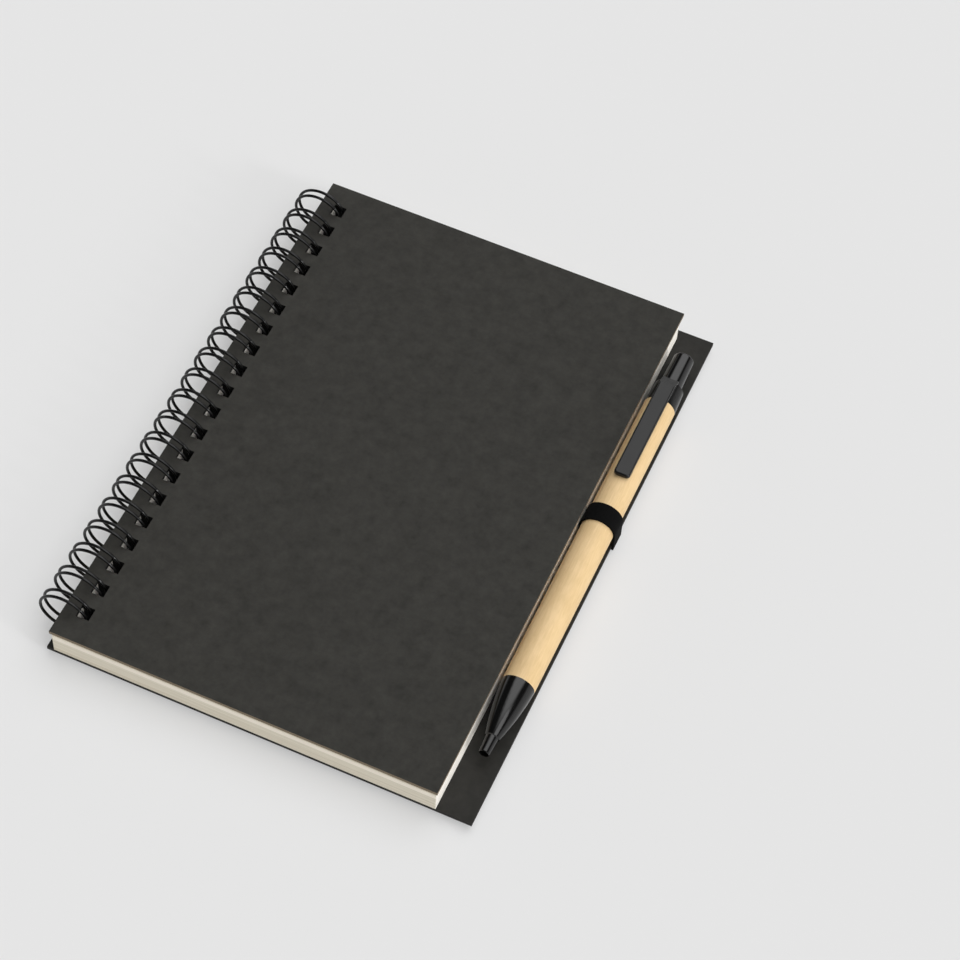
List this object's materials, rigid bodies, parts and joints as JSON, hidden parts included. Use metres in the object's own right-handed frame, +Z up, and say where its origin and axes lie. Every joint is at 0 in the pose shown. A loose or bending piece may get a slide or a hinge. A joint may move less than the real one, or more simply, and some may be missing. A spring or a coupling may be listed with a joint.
{
  "type": "spiral notebook",
  "caption": "Wire bound notebook with black board covers, cream pages and a click ball pen held in an elastic loop on the wider back cover.",
  "frame": {"origin": "under the middle of the whole object, at the height of the lowest point of the wire", "axes": "+X from the spine to the fore edge, +Y from the foot of the page to its head, +Z up out of the front cover"},
  "size_m": [0.1372, 0.1802, 0.0166],
  "materials": {
    "black_board": "matt black board",
    "page_paper": "uncoated cream paper",
    "black_wire": "gloss black coated steel",
    "black_elastic": "woven black elastic",
    "kraft_tube": "smooth kraft paper tube",
    "black_plastic": "satin black",
    "grey_plastic": "natural plastic",
    "tip_metal": "turned metal",
    "spring_steel": "bright wire"
  },
  "bodies": {
    "pages": {"page_block": "page_paper"},
    "front": {"front_cover": "black_board"},
    "back": {"back_cover": "black_board", "wire_binding": "black_wire", "pen_loop": "black_elastic"},
    "pen": {"pen_barrel": "kraft_tube", "pen_nose_cone": "black_plastic", "pen_clip_collar": "black_plastic", "pen_spring": "spring_steel"},
    "click": {"pen_button": "black_plastic", "pen_cam_rotor": "grey_plastic", "refill_tube": "grey_plastic", "refill_tip": "tip_metal"}
  },
  "joints": [
    {"name": "front_cover_hinge", "type": "hinge", "parent": "pages", "child": "front", "pos_m": [-0.06057, 0, 0.00856], "axis": [0, -1, 0], "range_deg": [0, 180]},
    {"name": "back_cover_hinge", "type": "hinge", "parent": "pages", "child": "back", "pos_m": [-0.06057, 0, 0.00856], "axis": [0, 1, 0], "range_deg": [0, 180]},
    {"name": "pen_slide", "type": "slide", "parent": "back", "child": "pen", "axis": [0, 1, 0], "range_m": [-0.01, 0.08]},
    {"name": "pen_click", "type": "slide", "parent": "pen", "child": "click", "axis": [0, -1, 0], "range_m": [0, 0.0045], "stiffness_N_per_m": 400, "springref_m": -0.004, "deforming": ["pen_spring"]}
  ]
}
